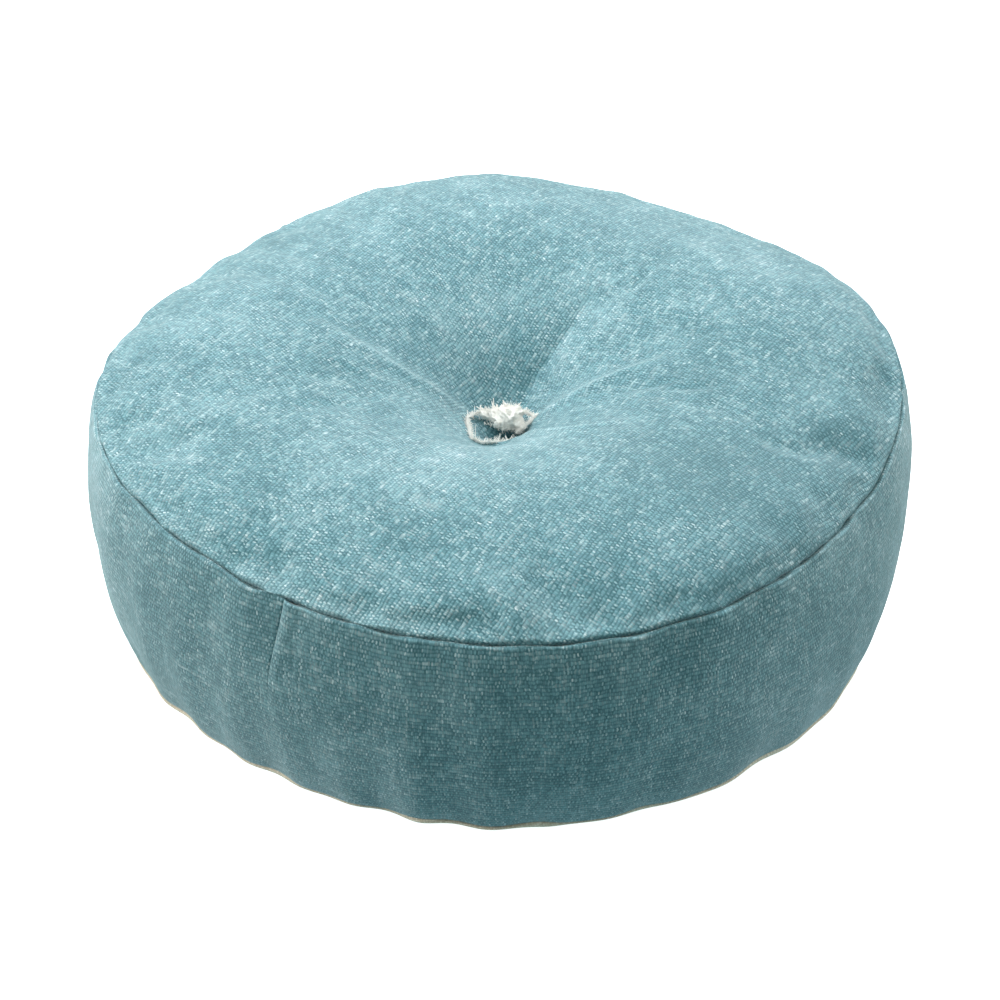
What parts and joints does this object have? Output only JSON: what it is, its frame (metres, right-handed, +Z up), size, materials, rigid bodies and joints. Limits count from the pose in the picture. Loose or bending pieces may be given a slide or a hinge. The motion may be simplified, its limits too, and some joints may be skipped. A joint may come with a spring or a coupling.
{
  "type": "seat cushion",
  "caption": "Round box-edged seat cushion: canvas cover with a zipped band and undyed base, one deep central tuft tied with twine, padded core.",
  "frame": {"origin": "centre of the underside, on the surface that the cushion rests on", "axes": "+Z up through the tuft, -Y the front of the cushion, the zip at the back on +Y"},
  "size_m": [0.4488, 0.45, 0.139],
  "materials": {
    "teal_canvas": "stonewashed plain-weave cotton canvas, matt, duck-egg teal",
    "ecru_canvas": "undyed plain-weave cotton canvas, matt",
    "calico": "thin unbleached calico, matt",
    "fibre_wadding": "soft white fibre wadding",
    "foam": "open-cell cushion foam",
    "cotton_tuft": "raw frayed white cotton",
    "cotton_twine": "twisted white cotton twine",
    "teal_thread": "polyester-core sewing thread",
    "zip_tape": "woven polyester zip tape",
    "zip_coil": "moulded nylon coil, satin",
    "zip_metal": "nickel-plated zinc, satin"
  },
  "bodies": {
    "cushion": {"band_join_thread": "teal_thread", "band_left": "teal_canvas", "band_right": "teal_canvas", "bottom_panel": "ecru_canvas", "bottom_seam_thread": "teal_thread", "foam_core": "foam", "inner_case_band": "calico", "inner_case_bottom": "calico", "inner_case_top": "calico", "top_panel": "teal_canvas", "top_seam_thread": "teal_thread", "tuft_knot": "cotton_twine", "tuft_pad_bottom": "cotton_tuft", "tuft_puff_top": "cotton_tuft", "tuft_twine": "cotton_twine", "wadding_bottom": "fibre_wadding", "wadding_side": "fibre_wadding", "wadding_top": "fibre_wadding", "zip_band_lower": "teal_canvas", "zip_band_upper": "teal_canvas", "zip_coil_lower": "zip_coil", "zip_coil_upper": "zip_coil", "zip_join_thread_closed_end": "teal_thread", "zip_join_thread_open_end": "teal_thread", "zip_stitch_lower": "teal_thread", "zip_stitch_upper": "teal_thread", "zip_stop_closed_end": "zip_metal", "zip_stop_open_end": "zip_metal", "zip_tape_lower": "zip_tape", "zip_tape_upper": "zip_tape"},
    "slider": {"zip_slider": "zip_metal"},
    "pull": {"zip_pull": "zip_metal"}
  },
  "joints": [
    {"name": "zip_travel", "type": "hinge", "parent": "cushion", "child": "slider", "pos_m": [0, 0, 0.062], "axis": [0, 0, 1], "range_deg": [0, 93]},
    {"name": "pull_flip", "type": "hinge", "parent": "slider", "child": "pull", "pos_m": [0.16489, 0.15485, 0.062], "axis": [0, 0, -1], "range_deg": [0, 170]}
  ]
}
